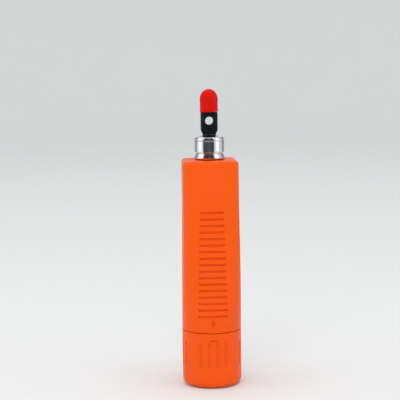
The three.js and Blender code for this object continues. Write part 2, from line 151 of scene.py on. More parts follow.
def dense(profile: Profile, step: float) -> list[Pair]:
    """Adds points to a closed profile's long sides, at most a step apart.

    Args:
        profile: points (radius, height) in order.
        step: the longest stretch between two points.

    Returns:
        The profile with the points added.
    """
    result: list[Pair] = []
    for i, start in enumerate(profile):
        end = profile[(i + 1) % len(profile)]
        on_axis = start[0] < ON_AXIS and end[0] < ON_AXIS
        count = 1 if on_axis else max(1, math.ceil(math.dist(start, end) / step))
        for j in range(count):
            t = j / count
            result.append((start[0] + (end[0] - start[0]) * t, start[1] + (end[1] - start[1]) * t))
    return result


def spin(bm: bmesh.types.BMesh, geom: list, angle: float, steps: int, **options: object) -> list:
    """Spins points and edges about Z and gives what the last step made."""
    return bmesh.ops.spin(bm, geom=geom, cent=(0, 0, 0), axis=(0, 0, 1), angle=angle,
                          steps=steps, **options)["geom_last"]


def placed(name: str, data: bpy.types.ID) -> bpy.types.Object:
    """Makes an object and links it to the scene.

    Args:
        name: the object's name.
        data: its mesh, light or camera.

    Returns:
        The object.
    """
    item = bpy.data.objects.new(name, data)
    bpy.context.scene.collection.objects.link(item)
    return item


def meshed(name: str, bm: bmesh.types.BMesh) -> bpy.types.Object:
    """Makes an object in the scene from a bmesh, which is used up.

    Args:
        name: the object's name.
        bm: the bmesh.

    Returns:
        The object.
    """
    mesh = bpy.data.meshes.new(name)
    bm.to_mesh(mesh)
    bm.free()
    return placed(name, mesh)


class Workpiece:
    """One piece on the bench: a bmesh in millimetres that ends as an object."""

    # How proud or sunk a point must be to count as a worn edge or as a hollow for painted
    # shade, and how fast the mark then grows.
    PROUD = 0.06
    SUNK = 0.04
    GROWTH = 5

    def __init__(self, name: str) -> None:
        """Starts an empty piece with its final name."""
        self.name = name
        self.bm = bmesh.new()

    def _loop(self, points: Iterable[Point]) -> tuple[list, list]:
        """Adds a closed loop of points and edges.

        Args:
            points: the loop's points in order.

        Returns:
            The points, and the edges except those that lie on the axis.
        """
        verts = [self.bm.verts.new(point) for point in points]
        edges = [self.bm.edges.new(pair) for pair in zip(verts, verts[1:] + verts[:1])
                 if any(math.hypot(v.co.x, v.co.y) >= ON_AXIS for v in pair)]
        return verts, edges

    def turn(self, profile: Profile, steps: int = 96) -> "Workpiece":
        """Spins a closed profile about Z.

        Args:
            profile: points (radius, height) in order round the section.
            steps: number of steps in the full turn.

        Returns:
            The piece itself.
        """
        verts, edges = self._loop((r, 0, z) for r, z in profile)
        spin(self.bm, verts + edges, 2 * math.pi, steps, use_merge=True)
        bmesh.ops.remove_doubles(self.bm, verts=self.bm.verts, dist=1e-5)
        return self

    def turn_bar(self, profile: Profile, edge: float, step: float, steps: int = 72) -> "Workpiece":
        """Turns a profile with its corners rounded and its long sides split."""
        return self.turn(dense(rounded(profile, edge), step), steps)

    def wrap(self, columns: int, rows: int, place: Callable[[int, int], Point]) -> "Workpiece":
        """Wraps a grid round the axis.

        Args:
            columns: number of faces round the piece.
            rows: number of faces along the section.
            place: gives the point for a column and a row.

        Returns:
            The piece itself.
        """
        bmesh.ops.create_grid(self.bm, x_segments=columns, y_segments=rows, size=1.0)
        for vert in self.bm.verts:
            column = round((vert.co.x + 1) / 2 * columns)
            row = round((vert.co.y + 1) / 2 * rows)
            vert.co = place(column % columns, row)
        bmesh.ops.remove_doubles(self.bm, verts=self.bm.verts, dist=1e-4)
        return self

    def plate(self, loops: Sequence[Profile], near: float, far: float) -> "Workpiece":
        """Cuts a flat plate with holes, upright in the XZ plane.

        Args:
            loops: the outline and then each hole, as (x, z) points.
            near: the front face's Y.
            far: the back face's Y.

        Returns:
            The piece itself.
        """
        edges = []
        for loop in loops:
            edges += self._loop((x, near, z) for x, z in loop)[1]
        bmesh.ops.triangle_fill(self.bm, use_beauty=True, use_dissolve=False, edges=edges)
        grown = bmesh.ops.extrude_face_region(self.bm, geom=list(self.bm.faces))
        moved = [g for g in grown["geom"] if isinstance(g, bmesh.types.BMVert)]
        bmesh.ops.translate(self.bm, verts=moved, vec=(0, far - near, 0))
        return self

    def block(self, low: Point, high: Point) -> "Workpiece":
        """Adds a box between two corners.

        Args:
            low: the corner with the least of each coordinate.
            high: the corner with the most.

        Returns:
            The piece itself.
        """
        size = Vector(high) - Vector(low)
        middle = (Vector(high) + Vector(low)) / 2
        matrix = Matrix.Translation(middle) @ Matrix.Diagonal((*size, 1))
        bmesh.ops.create_cube(self.bm, size=1.0, matrix=matrix)
        return self

    def rod(self, radius: float, start: Point, end: Point, steps: int = 48) -> "Workpiece":
        """Adds a round bar between two points.

        Args:
            radius: the bar's radius.
            start: the middle of one end.
            end: the middle of the other.
            steps: number of faces round it.

        Returns:
            The piece itself.
        """
        along = Vector(end) - Vector(start)
        matrix = (Matrix.Translation((Vector(start) + Vector(end)) / 2)
                  @ along.to_track_quat("Z", "Y").to_matrix().to_4x4())
        bmesh.ops.create_cone(self.bm, cap_ends=True, segments=steps, radius1=radius,
                              radius2=radius, depth=along.length, matrix=matrix)
        return self

    def tube(self, section: Profile, legs: Iterable[Pair], steps: int = 36) -> "Workpiece":
        """Sweeps a closed section round Z in a helix.

        Args:
            section: points (radius, height) of the section at the start.
            legs: (turns, rise) of each stretch, in order.
            steps: steps in one turn.

        Returns:
            The piece itself.
        """
        verts = [self.bm.verts.new((r, 0, z)) for r, z in section]
        first = self.bm.faces.new(verts)
        geom: list = verts + list(first.edges)
        for turns, rise in legs:
            count = round(turns * steps)
            last = spin(self.bm, geom, 2 * math.pi * turns, count, dvec=(0, 0, rise / count))
            geom = [g for g in last if not isinstance(g, bmesh.types.BMFace)]
        edges = [g for g in geom if isinstance(g, bmesh.types.BMEdge)]
        bmesh.ops.contextual_create(self.bm, geom=edges)
        return self

    def soften(self, width: float, segments: int = 2, angle: float = 30) -> "Workpiece":
        """Bevels every edge that is sharper than an angle in degrees.

        Args:
            width: how far the bevel reaches on each side.
            segments: faces across the bevel.
            angle: the least angle between two faces.

        Returns:
            The piece itself.
        """
        self.bm.normal_update()
        bmesh.ops.recalc_face_normals(self.bm, faces=self.bm.faces)
        sharp = [e for e in self.bm.edges
                 if e.is_manifold and e.calc_face_angle(0) > math.radians(angle)]
        bmesh.ops.bevel(self.bm, geom=sharp, offset=width, offset_type="OFFSET", affect="EDGES",
                        segments=segments, profile=0.5, material=-1, clamp_overlap=True)
        return self

    def cut(self, other: "Workpiece") -> "Workpiece":
        """Cuts another piece away, which is used up."""
        return self._combine(other, "DIFFERENCE")

    def join(self, other: "Workpiece") -> "Workpiece":
        """Joins another piece on, which is used up."""
        return self._combine(other, "UNION")

    def _combine(self, other: "Workpiece", operation: str) -> "Workpiece":
        """Puts two pieces together.

        Args:
            other: the second piece, which is used up.
            operation: UNION or DIFFERENCE.

        Returns:
            The piece itself.
        """
        base = self._temporary()
        tool = other._temporary()
        modifier = base.modifiers.new("cut", "BOOLEAN")
        modifier.object = tool
        modifier.operation = operation
        modifier.solver = "EXACT"
        bpy.context.view_layer.update()
        graph = bpy.context.evaluated_depsgraph_get()
        mesh = bpy.data.meshes.new_from_object(base.evaluated_get(graph))
        self.bm = bmesh.new()
        self.bm.from_mesh(mesh)
        for item in (base, tool):
            bpy.data.objects.remove(item)
        bpy.data.meshes.remove(mesh)
        return self

    def _temporary(self) -> bpy.types.Object:
        """Hands the bmesh over to a scratch object, in millimetres."""
        bmesh.ops.recalc_face_normals(self.bm, faces=self.bm.faces)
        return meshed("scratch", self.bm)

    def _mark_edges(self) -> None:
        """Stores how far each point stands proud (edge, for wear) or lies back (the mask for painted
        shade in hollows).
        """
        edge_layer = self.bm.verts.layers.float.new("edge")
        hollow_shade_layer = self.bm.verts.layers.float.new("hollow_shade")
        self.bm.normal_update()
        for vert in self.bm.verts:
            leans = [vert.normal.dot((vert.co - edge.other_vert(vert).co).normalized())
                     for edge in vert.link_edges]
            lean = sum(leans) / max(len(leans), 1)
            vert[edge_layer] = ease((lean - self.PROUD) * self.GROWTH)
            # How sunk a point lies: the mask of painted shade in hollows.
            vert[hollow_shade_layer] = ease((-lean - self.SUNK) * self.GROWTH)

    def finish(self, material: bpy.types.Material, body: str, slot: str,
               nodes: Sequence[str] = (), smooth_below: float = 40) -> bpy.types.Object:
        """Makes the finished object, in metres, dressed and on its body.

        Args:
            material: the piece's finish.
            body: the moving body it rides on.
            slot: not used.
            nodes: frame nodes that the piece stands for.
            smooth_below: faces that meet below this angle shade as one.

        Returns:
            The object.
        """
        if not self.bm.faces:
            raise ValueError(f"{self.name} has no faces")
        bmesh.ops.recalc_face_normals(self.bm, faces=self.bm.faces)
        if self.bm.calc_volume(signed=True) < 0:
            bmesh.ops.reverse_faces(self.bm, faces=self.bm.faces)
        self._mark_edges()
        for edge in self.bm.edges:
            edge.smooth = not edge.is_manifold or edge.calc_face_angle(0) < math.radians(smooth_below)
        for face in self.bm.faces:
            face.smooth = True
        bmesh.ops.scale(self.bm, vec=(MM, MM, MM), verts=self.bm.verts)
        piece = meshed(self.name, self.bm)
        piece.data.materials.append(material)
        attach(piece, body)
        if nodes:
            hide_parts(*nodes)
        LOG.info("%s: %d faces on %s", self.name, len(piece.data.polygons), body)
        return piece


# Materials


class Grain(Enum):
    """How a surface was made, which decides its fine pattern."""

    MOULDED = "moulded"
    TURNED = "turned"
    GROUND = "ground"
    SOFT = "soft"


@dataclass(frozen=True)
class Finish:
    """A finish: its colours, its gloss, its fine pattern, its wear and its painted shade in hollows.

    Lengths of patterns are in millimetres and bump depths in metres. Wear says how fully
    rubbed edges take their worn colour. The hollow shade share says how fully hollows take
    a painted shade colour, which stands in for the shade that falls in grooves, slots and
    inner corners; above 1, a shallow hollow takes the painted shade fully too.
    """

    name: str
    slot: str
    colour: Colour
    grain: Grain
    roughness: float
    metallic: float = 0.0
    roughness_spread: float = 0.06
    tone: float = 0.05
    tone_size: float = 14.0
    grain_size: float = 0.35
    grain_depth: float = 0.00001
    wear_colour: Colour = (1.0, 1.0, 1.0)
    wear: float = 0.0
    # Painted shade: the colour laid in hollows and how fully, standing in for shade.
    hollow_shade_colour: Colour = (0.0, 0.0, 0.0)
    hollow_shade: float = 0.0
    specular: float = 0.5


# The hollow colour of each finish is painted shade for its grooves, slots and inner corners, darker
# than the material itself.
ORANGE = Finish("orange_plastic", "handle_plastic", (0.90, 0.094, 0.0015), Grain.MOULDED, 0.36,
                roughness_spread=0.07, tone=0.07, tone_size=22, grain_size=0.45,
                grain_depth=0.000012, wear_colour=(0.98, 0.17, 0.03), wear=0.35,
                hollow_shade_colour=(0.5, 0.025, 0.001), hollow_shade=0.5, specular=0.16)
# Chrome's near-black hollow colour is painted shade that darkens the collar's undercut slot.
CHROME = Finish("polished_chrome", "chrome_nose", (0.80, 0.81, 0.83), Grain.TURNED, 0.12,
                metallic=1.0, roughness_spread=0.05, tone=0.03, tone_size=6, grain_size=0.12,
                grain_depth=0.0000008, wear_colour=(0.95, 0.95, 0.95), wear=0.2,
                hollow_shade_colour=(0.02, 0.02, 0.022), hollow_shade=2.4)
BLACK = Finish("black_oxide", "black_blade", (0.010, 0.013, 0.016), Grain.GROUND, 0.38,
               metallic=0.55, roughness_spread=0.1, tone=0.3, tone_size=5, grain_size=0.14,
               grain_depth=0.000003, wear_colour=(0.20, 0.20, 0.20), wear=0.55,
               hollow_shade_colour=(0.004, 0.004, 0.004), hollow_shade=0.5)
RED = Finish("red_vinyl", "soft_guard", (0.62, 0.003, 0.0004), Grain.SOFT, 0.36,
             roughness_spread=0.08, tone=0.10, tone_size=7, grain_size=0.5,
             grain_depth=0.00001, wear_colour=(0.9, 0.06, 0.03), wear=0.25,
             hollow_shade_colour=(0.35, 0.004, 0.002), hollow_shade=0.5, specular=0.13)
STEEL = Finish("turned_steel", "machined_steel", (0.42, 0.43, 0.45), Grain.TURNED, 0.30,
               metallic=1.0, roughness_spread=0.1, tone=0.08, tone_size=5, grain_size=0.16,
               grain_depth=0.000003, wear_colour=(0.7, 0.7, 0.7), wear=0.4,
               hollow_shade_colour=(0.06, 0.05, 0.045), hollow_shade=0.6)
BRIGHT = Finish("ground_steel", "machined_steel", (0.55, 0.56, 0.58), Grain.GROUND, 0.22,
                metallic=1.0, roughness_spread=0.1, tone=0.06, tone_size=4, grain_size=0.12,
                grain_depth=0.000002, wear_colour=(0.8, 0.8, 0.8), wear=0.4,
                hollow_shade_colour=(0.08, 0.08, 0.08), hollow_shade=0.5)
WIRE = Finish("spring_wire", "spring_steel", (0.30, 0.31, 0.33), Grain.SOFT, 0.28,
              metallic=1.0, roughness_spread=0.1, tone=0.12, tone_size=3, grain_size=0.2,
              grain_depth=0.000002, wear_colour=(0.6, 0.6, 0.6), wear=0.2,
              hollow_shade_colour=(0.05, 0.04, 0.035), hollow_shade=0.3)
URETHANE = Finish("dark_urethane", "urethane", (0.03, 0.03, 0.032), Grain.SOFT, 0.6,
                  tone=0.15, tone_size=4, grain_size=0.4, grain_depth=0.000008)


class Wiring:
    """Short ways to add nodes to a shader's tree and to feed their sockets."""

    def __init__(self, tree: bpy.types.NodeTree) -> None:
        """Takes the tree to work in."""
        self.tree = tree

    def feed(self, node: bpy.types.Node, inputs: Inputs) -> bpy.types.Node:
        """Gives a node its inputs.

        Args:
            node: the node to feed.
            inputs: what each of its sockets takes.

        Returns:
            The node itself.
        """
        for key, value in inputs.items():
            if isinstance(value, bpy.types.NodeSocket):
                self.tree.links.new(value, node.inputs[key])
            else:
                node.inputs[key].default_value = value
        return node

    def add(self, kind: str, inputs: Inputs | None = None) -> bpy.types.Node:
        """Adds a shader node of a kind and feeds it."""
        return self.feed(self.tree.nodes.new(f"ShaderNode{kind}"), inputs or {})

    def use(self, group: bpy.types.NodeTree, inputs: Inputs) -> bpy.types.NodeOutputs:
        """Puts a shared group to use.

        Args:
            group: the group.
            inputs: what each of its sockets takes.

        Returns:
            Its output sockets.
        """
        node = self.add("Group")
        node.node_tree = group
        return self.feed(node, inputs).outputs

    def math(self, operation: str, *values: object, clamp: bool = False) -> bpy.types.NodeSocket:
        """Adds a math node.

        Args:
            operation: what it does.
            values: numbers or sockets, in order.
            clamp: whether the result is held between 0 and 1.

        Returns:
            Its result.
        """
        node = self.add("Math")
        node.operation = operation
        node.use_clamp = clamp
        return self.feed(node, dict(enumerate(values))).outputs[0]

    def place(self) -> bpy.types.NodeSocket:
        """The piece's own coordinates."""
        return self.add("TexCoord").outputs["Object"]

    def stored(self, name: str) -> bpy.types.NodeSocket:
        """Reads a value that the mesh keeps for each of its points.

        Args:
            name: the value's name.

        Returns:
            The value.
        """
        node = self.add("Attribute")
        node.attribute_name = name
        return node.outputs["Fac"]

    def noise(self, vector: bpy.types.NodeSocket, scale: object,
              detail: float) -> bpy.types.NodeSocket:
        """Adds a noise texture over some coordinates and gives its pattern."""
        return self.add("TexNoise", {"Vector": vector, "Scale": scale, "Detail": detail,
                                     "Roughness": 0.55}).outputs["Fac"]

    def swing(self, pattern: bpy.types.NodeSocket, amount: object,
              middle: object) -> bpy.types.NodeSocket:
        """Makes a pattern swing about a middle value.

        Args:
            pattern: the pattern, from 0 to 1.
            amount: how far it swings each way.
            middle: the middle value.

        Returns:
            The swinging value.
        """
        centred = self.math("SUBTRACT", pattern, 0.5)
        scaled = self.math("MULTIPLY", centred, amount)
        return self.math("MULTIPLY_ADD", scaled, 2.0, middle)

    def mix(self, share: object, first: object, second: object) -> bpy.types.NodeSocket:
        """Blends from the first colour to the second by a share."""
        return self.add("MixRGB", {"Fac": share, "Color1": first, "Color2": second}).outputs["Color"]


class Effects:
    """Shared shader node groups, each built once."""

    def __init__(self) -> None:
        """Builds every group."""
        self.tone = self._tone()
        self.mask = self._mask()
        self.grains = {
            Grain.MOULDED: self._grain("moulded_grain", 5.0, Wiring.place),
            Grain.SOFT: self._grain("soft_grain", 2.0, Wiring.place),
            Grain.TURNED: self._grain("turned_grain", 2.0, self._rings),
            Grain.GROUND: self._grain("ground_grain", 3.0, self._scratches),
        }

    @staticmethod
    def _group(name: str, inputs: Sequence[str], outputs: Sequence[str]) -> tuple:
        """Starts a node group, where sockets named Color carry one.

        Args:
            name: the group's name.
            inputs: the input sockets' names.
            outputs: the output sockets' names.

        Returns:
            The tree's wiring, its given sockets and its output node.
        """
        tree = bpy.data.node_groups.new(name, "ShaderNodeTree")
        for side, labels in (("INPUT", inputs), ("OUTPUT", outputs)):
            for label in labels:
                kind = "NodeSocketColor" if label.endswith("Color") else "NodeSocketFloat"
                tree.interface.new_socket(name=label, in_out=side, socket_type=kind)
        given = tree.nodes.new("NodeGroupInput").outputs
        return Wiring(tree), given, tree.nodes.new("NodeGroupOutput")

    def _tone(self) -> bpy.types.NodeTree:
        """Slow drift of brightness and quicker drift of gloss over a surface.

        Returns:
            The group.
        """
        wiring, given, result = self._group(
            "tone_drift", ("Color", "Scale", "Amount", "Roughness", "Spread"), ("Color", "Roughness"))
        place = wiring.place()
        broad = wiring.noise(place, given["Scale"], 3.0)
        fine = wiring.noise(place, wiring.math("MULTIPLY", given["Scale"], 6.5), 5.0)
        bright = wiring.swing(broad, given["Amount"], 1.0)
        scaled = wiring.add("HueSaturation", {"Value": bright, "Color": given["Color"]})
        gloss = wiring.swing(fine, given["Spread"], given["Roughness"])
        wiring.feed(result, {"Color": scaled.outputs["Color"], "Roughness": gloss})
        return wiring.tree

    def _mask(self) -> bpy.types.NodeTree:
        """Rubbed edges, broken up by noise, and painted shade that darkens hollows.

        Returns:
            The group.
        """
        wiring, given, result = self._group(
            "wear_and_painted_shade", ("Color", "Edge Color", "Edge", "Painted Shade Color", "Painted Shade"), ("Color",))
        noise = wiring.noise(wiring.place(), 420.0, 4.0)
        broken = wiring.math("MULTIPLY_ADD", noise, 2.2, -0.45, clamp=True)
        rubbed = wiring.math("MULTIPLY", wiring.stored("edge"), broken)
        worn = wiring.math("MULTIPLY", rubbed, given["Edge"])
        # Painted shade: darkens the hollows towards the shade colour.
        hollow = wiring.math("MULTIPLY", wiring.stored("hollow_shade"), given["Painted Shade"])
        dark = wiring.mix(hollow, given["Color"], given["Painted Shade Color"])
        wiring.feed(result, {"Color": wiring.mix(worn, dark, given["Edge Color"])})
        return wiring.tree

    def _grain(self, name: str, detail: float,
               follow: Callable[[Wiring], bpy.types.NodeSocket]) -> bpy.types.NodeTree:
        """Fine skin as a pattern of heights.

        Args:
            name: the group's name.
            detail: how much finer detail the pattern has.
            follow: gives the coordinates that the pattern follows.

        Returns:
            The group.
        """
        wiring, given, result = self._group(name, ("Scale",), ("Height",))
        wiring.feed(result, {"Height": wiring.noise(follow(wiring), given["Scale"], detail)})
        return wiring.tree

    @staticmethod
    def _rings(wiring: Wiring) -> bpy.types.NodeSocket:
        """Radius and height only, for rings as a lathe or a polishing wheel leaves them.

        Args:
            wiring: the tree to work in.

        Returns:
            Coordinates that hold only those two.
        """
        split = wiring.add("SeparateXYZ", {0: wiring.place()}).outputs
        flat = wiring.add("CombineXYZ", {"X": split["X"], "Y": split["Y"]})
        reach = wiring.add("VectorMath", {0: flat.outputs[0]})
        reach.operation = "LENGTH"
        return wiring.add("CombineXYZ", {"X": reach.outputs["Value"], "Z": split["Z"]}).outputs[0]

    @staticmethod
    def _scratches(wiring: Wiring) -> bpy.types.NodeSocket:
        """Drawn out along X, for straight scratches as a surface grinder leaves them."""
        stretch = wiring.add("Mapping", {"Vector": wiring.place(), "Scale": (0.06, 1.0, 1.0)})
        return stretch.outputs["Vector"]


class Wardrobe:
    """Makes each finish's material once and hands it out."""

    def __init__(self) -> None:
        """Builds the shared effects and an empty store."""
        self.effects = Effects()
        self.made: dict[str, bpy.types.Material] = {}

    def __call__(self, finish: Finish) -> bpy.types.Material:
        """The material of a finish, made on first use."""
        if finish.name not in self.made:
            self.made[finish.name] = self._make(finish)
        return self.made[finish.name]

    def _make(self, finish: Finish) -> bpy.types.Material:
        """Builds one material.

        Args:
            finish: what the surface is like.

        Returns:
            The material.
        """
        material = bpy.data.materials.new(finish.name)
        material.use_nodes = True
        wiring = Wiring(material.node_tree)
        tone = wiring.use(self.effects.tone, {
            "Color": (*finish.colour, 1), "Scale": 1 / (finish.tone_size * MM),
            "Amount": finish.tone, "Roughness": finish.roughness,
            "Spread": finish.roughness_spread})
        # Rubbed edges take the wear colour, then hollows take painted shade.
        mask = wiring.use(self.effects.mask, {
            "Color": tone["Color"], "Edge Color": (*finish.wear_colour, 1), "Edge": finish.wear,
            "Painted Shade Color": (*finish.hollow_shade_colour, 1), "Painted Shade": finish.hollow_shade})
        grain = wiring.use(self.effects.grains[finish.grain],
                           {"Scale": 1 / (finish.grain_size * MM)})
        bump = wiring.add("Bump", {"Strength": 1.0, "Distance": finish.grain_depth,
                                   "Height": grain["Height"]})
        wiring.feed(material.node_tree.nodes["Principled BSDF"], {
            "Metallic": finish.metallic, "Specular IOR Level": finish.specular,
            "Base Color": mask["Color"], "Roughness": tone["Roughness"],
            "Normal": bump.outputs["Normal"]})
        return material


# Sub-assemblies


@dataclass
class Handle:
    """Moulded grip, squarish at the nose and round at the rear, with its bore."""

    dress: Wardrobe
    seam: float = 30.4
    top: float = 122.3
    half_front: float = 14.75
    half_rear: float = 16.0
    corner_front: float = 4.2
    taper_start: float = 98.0
    corner_power: float = 2.3
    top_round: float = 2.0
    seam_round: float = 0.45
    grooves: int = 17
    groove_first: float = 39.5
    groove_pitch: float = 3.475
    groove_half: float = 0.62
    groove_wall: float = 0.24
    groove_depth: float = 0.8
    groove_long: float = 15.4
    groove_short: float = 12.3
    nose_bore: float = 7.3
    bore: float = 11.3
    bore_end: float = 88.0
    chamfer: float = 0.3
    blunt: float = 0.2
    spigot: float = 12.8
    spigot_end: float = 12.0
    ring_floor: float = 12.2
    ring_low: float = 12.9
    ring_high: float = 14.6
    thread_low: float = 15.4
    thread_lead: float = 2.0
    thread_turns: int = 6
    key_half: float = 1.5
    key_reach: float = 12.1
    key_low: float = 11.0
    key_high: float = 33.0
    mark_height: float = 34.5
    mark_depth: float = 0.2

    # An eighth of the section's columns, and their stops across half a groove.
    EIGHTH = 20
    STOPS = (0.0, 0.2, 0.4, 0.6, 0.8, 0.93, 0.975, 1.02, 1.07)
    # Where a groove's end runs out, as shares of its half length.
    RUN_OUT = 1.06
    RUN_OUT_LENGTH = 0.11
    # Rows on both sides of a groove's middle, and round rows on the nose face.
    GROOVE_ROWS = (0, 0.24, 0.38, 0.46, 0.54, 0.62, 0.74, 1.2)
    FACE_ROWS = (11.4, 9.2)

    @property
    def groove_last(self) -> float:
        """Height of the last groove's middle."""
        return self.groove_first + (self.grooves - 1) * self.groove_pitch

    def _share(self, height: float) -> float:
        """How far down the taper a height lies, from 0 to 1."""
        return min(max((self.taper_start - height) / (self.taper_start - self.seam), 0.0), 1.0)

    def half(self, height: float) -> float:
        """Half the grip's width at a height."""
        return self.half_front + (self.half_rear - self.half_front) * self._share(height)

    def corner(self, height: float) -> float:
        """Corner radius of the section at a height."""
        grown = self._share(height) ** self.corner_power
        return self.corner_front + (self.half_rear - self.corner_front) * grown

    def groove_length(self, height: float) -> float:
        """Length of a groove at a height.

        Args:
            height: the groove's height.

        Returns:
            The length.
        """
        share = (height - self.groove_first) / (self.groove_last - self.groove_first)
        share = min(max(share, 0.0), 1.0)
        return self.groove_long + (self.groove_short - self.groove_long) * share

    def groove_sink(self, height: float) -> float:
        """How deep a groove is cut at a height, at its middle.

        Args:
            height: the height.

        Returns:
            The depth, 0 between two grooves.
        """
        nearest = round((height - self.groove_first) / self.groove_pitch)
        nearest = min(max(nearest, 0), self.grooves - 1)
        away = abs(height - self.groove_first - nearest * self.groove_pitch)
        return self.groove_depth * ease((self.groove_half - away) / self.groove_wall)

    def side_point(self, step: int, height: float, inset: float) -> Pair:
        """Point on one side of the section.

        Args:
            step: column from the side's middle, up to an eighth of them.
            height: the section's height.
            inset: how far the whole section is drawn in.

        Returns:
            Distance along the side and distance out from the axis.
        """
        half = self.half(height) - inset
        corner = max(self.corner(height) - inset, 1.0)
        core = half - corner
        reach = self.groove_length(height) / 2
        known = len(self.STOPS) - 1
        if step <= known:
            along = self.STOPS[step] * reach
        else:
            start = self.STOPS[known] * reach
            end = core + corner / math.sqrt(2)
            along = start + (end - start) * (step - known) / (self.EIGHTH - known)
        if along <= core:
            return along, half
        return along, core + math.sqrt(max(corner ** 2 - (along - core) ** 2, 0.0))

    def section_point(self, column: int, height: float, inset: float) -> Pair:
        """Point of the whole section for a column, with the grooves cut in.

        Args:
            column: column round the section.
            height: the section's height.
            inset: how far the whole section is drawn in.

        Returns:
            The point's X and Y.
        """
        side, local = divmod(column + self.EIGHTH, 2 * self.EIGHTH)
        local -= self.EIGHTH
        along, out = self.side_point(abs(local), height, inset)
        if side % 2 == 0 and inset == 0:
            share = along / (self.groove_length(height) / 2)
            out -= self.groove_sink(height) * ease((self.RUN_OUT - share) / self.RUN_OUT_LENGTH)
        along = math.copysign(along, local) if local else 0.0
        turns = ((along, -out), (out, along), (-along, out), (-out, -along))
        return turns[side % 4]

    def outer_rows(self) -> list[Pair]:
        """Heights and insets of the sections, from the seam to the nose.

        Returns:
            A pair for each section.
        """
        rows = [(self.seam + self.seam_round * (1 - c), self.seam_round * (1 - s))
                for s, c in quarter(4)[:-1]]
        heights = set(spaced(self.seam + self.seam_round, self.groove_first - 1, 1.6))
        for i in range(self.grooves):
            middle = self.groove_first + i * self.groove_pitch
            for offset in self.GROOVE_ROWS:
                heights.update((round(middle - offset, 4), round(middle + offset, 4)))
        heights.update(spaced(self.groove_last + 2, self.top - self.top_round, 2.2))
        rows += [(height, 0.0) for height in sorted(heights)]
        rows += [(self.top - self.top_round * (1 - s), self.top_round * (1 - c))
                 for s, c in quarter(8)[1:]]
        return rows

    def inner_rows(self) -> list[Pair]:
        """Radius and height of the round rows, from the nose face to the seam.

        Returns:
            A pair for each row.
        """
        cut, blunt, steep = self.chamfer, self.blunt, 0.05
        rows = [(radius, self.top) for radius in self.FACE_ROWS]
        rows += [(self.nose_bore + cut, self.top), (self.nose_bore, self.top - cut)]
        rows += [(self.nose_bore, self.bore_end + blunt), (self.nose_bore + blunt, self.bore_end)]
        rows += [(self.bore, self.bore_end), (self.bore, self.spigot_end + cut)]
        rows += [(self.bore + cut, self.spigot_end), (self.spigot - cut, self.spigot_end)]
        rows += [(self.spigot, self.spigot_end + cut), (self.spigot, self.ring_low)]
        rows += [(self.ring_floor, self.ring_low + steep), (self.ring_floor, self.ring_high - steep)]
        rows += [(self.spigot, self.ring_high)]
        rows += [(self.spigot, z) for z in spaced(16, self.seam - blunt, 2.4)]
        rows += [(self.spigot + blunt, self.seam)]
        return rows

    def build(self) -> None:
        """Makes the body, its thread and its index arrow."""
        outer = self.outer_rows()
        inner = self.inner_rows()
        columns = 8 * self.EIGHTH
        bearing = []
        for column in range(columns):
            x, y = self.section_point(column, self.top - self.top_round, 0.0)
            bearing.append(math.atan2(y, x))

        def place(column: int, row: int) -> Point:
            """Outer sections first, then the round rows, then back to the start.

            Args:
                column: column round the body.
                row: row along its section.

            Returns:
                The point.
            """
            row %= len(outer) + len(inner)
            if row < len(outer):
                height, inset = outer[row]
                return (*self.section_point(column, height, inset), height)
            radius, height = inner[row - len(outer)]
            return (radius * math.cos(bearing[column]), radius * math.sin(bearing[column]), height)

        body = Workpiece("grip_moulding")
        body.wrap(columns, len(outer) + len(inner), place)
        key = Workpiece("keyways").block((-self.key_half, -self.key_reach, self.key_low),
                                         (self.key_half, self.key_reach, self.key_high))
        body.cut(key)
        self._index_arrow(body)
        body.finish(self.dress(ORANGE), "handle", ORANGE.slot, ["handle_body"], smooth_below=50)
        self._thread()

    def _thread(self) -> None:
        """The thread that the knob runs on."""
        low = self.thread_low
        root, crest = self.spigot - 0.1, self.spigot + 0.22
        section = [(root, low), (crest, low + 0.6), (crest, low + 0.85), (root, low + 1.45)]
        thread = Workpiece("spigot_thread")
        thread.tube(section, [(self.thread_turns, self.thread_turns * self.thread_lead)], steps=72)
        thread.finish(self.dress(ORANGE), "handle", ORANGE.slot)

    def _index_arrow(self, body: Workpiece) -> None:
        """Sinks a small arrow above the seam, pointing at the knob.

        Args:
            body: the body to cut it in.
        """
        tip, head, tail = 33.2, 36.2, 38.0
        wing, stem = 1.5, 0.55
        outline = mirrored([(0, tip), (wing, head), (stem, head), (stem, tail)])[:-1]
        front = -self.half(self.mark_height)
        arrow = Workpiece("arrow").plate([outline], front - 1, front + self.mark_depth)
        body.cut(arrow)


@dataclass
class Nose:
    """Chrome collar that is fixed in the handle and guides the blade holder."""

    dress: Wardrobe
    radius: float = 8.0
    bore: float = 5.4
    tail: float = 7.0
    tail_low: float = 108.0
    foot: float = 122.6
    band_low: float = 126.4
    band_high: float = 132.3
    top: float = 134.7
    edge: float = 0.11

    def build(self) -> None:
        """Turns the collar from one bar."""
        r, foot, low, high = self.radius, self.foot, self.band_low, self.band_high
        profile = [
            (self.bore, self.tail_low), (self.tail, self.tail_low), (self.tail, foot),
            (r - 0.25, foot), (r + 0.15, foot + 0.3), (r + 0.2, foot + 1.0),
            (r - 0.5, low - 0.8), (r - 0.8, low - 0.65), (r - 0.8, low - 0.08),
            (r, low), (r, high), (r - 0.28, high + 0.12), (r - 0.28, high + 0.22),
            (r, high + 0.36), (r, high + 1.3), (r - 0.42, high + 2.05), (r - 1.1, self.top),
            (self.bore + 0.3, self.top), (self.bore, self.top - 0.3),
        ]
        collar = Workpiece("nose_collar").turn_bar(profile, self.edge, 0.8, steps=144)
        collar.finish(self.dress(CHROME), "handle", CHROME.slot, ["nose_ferrule"], smooth_below=35)


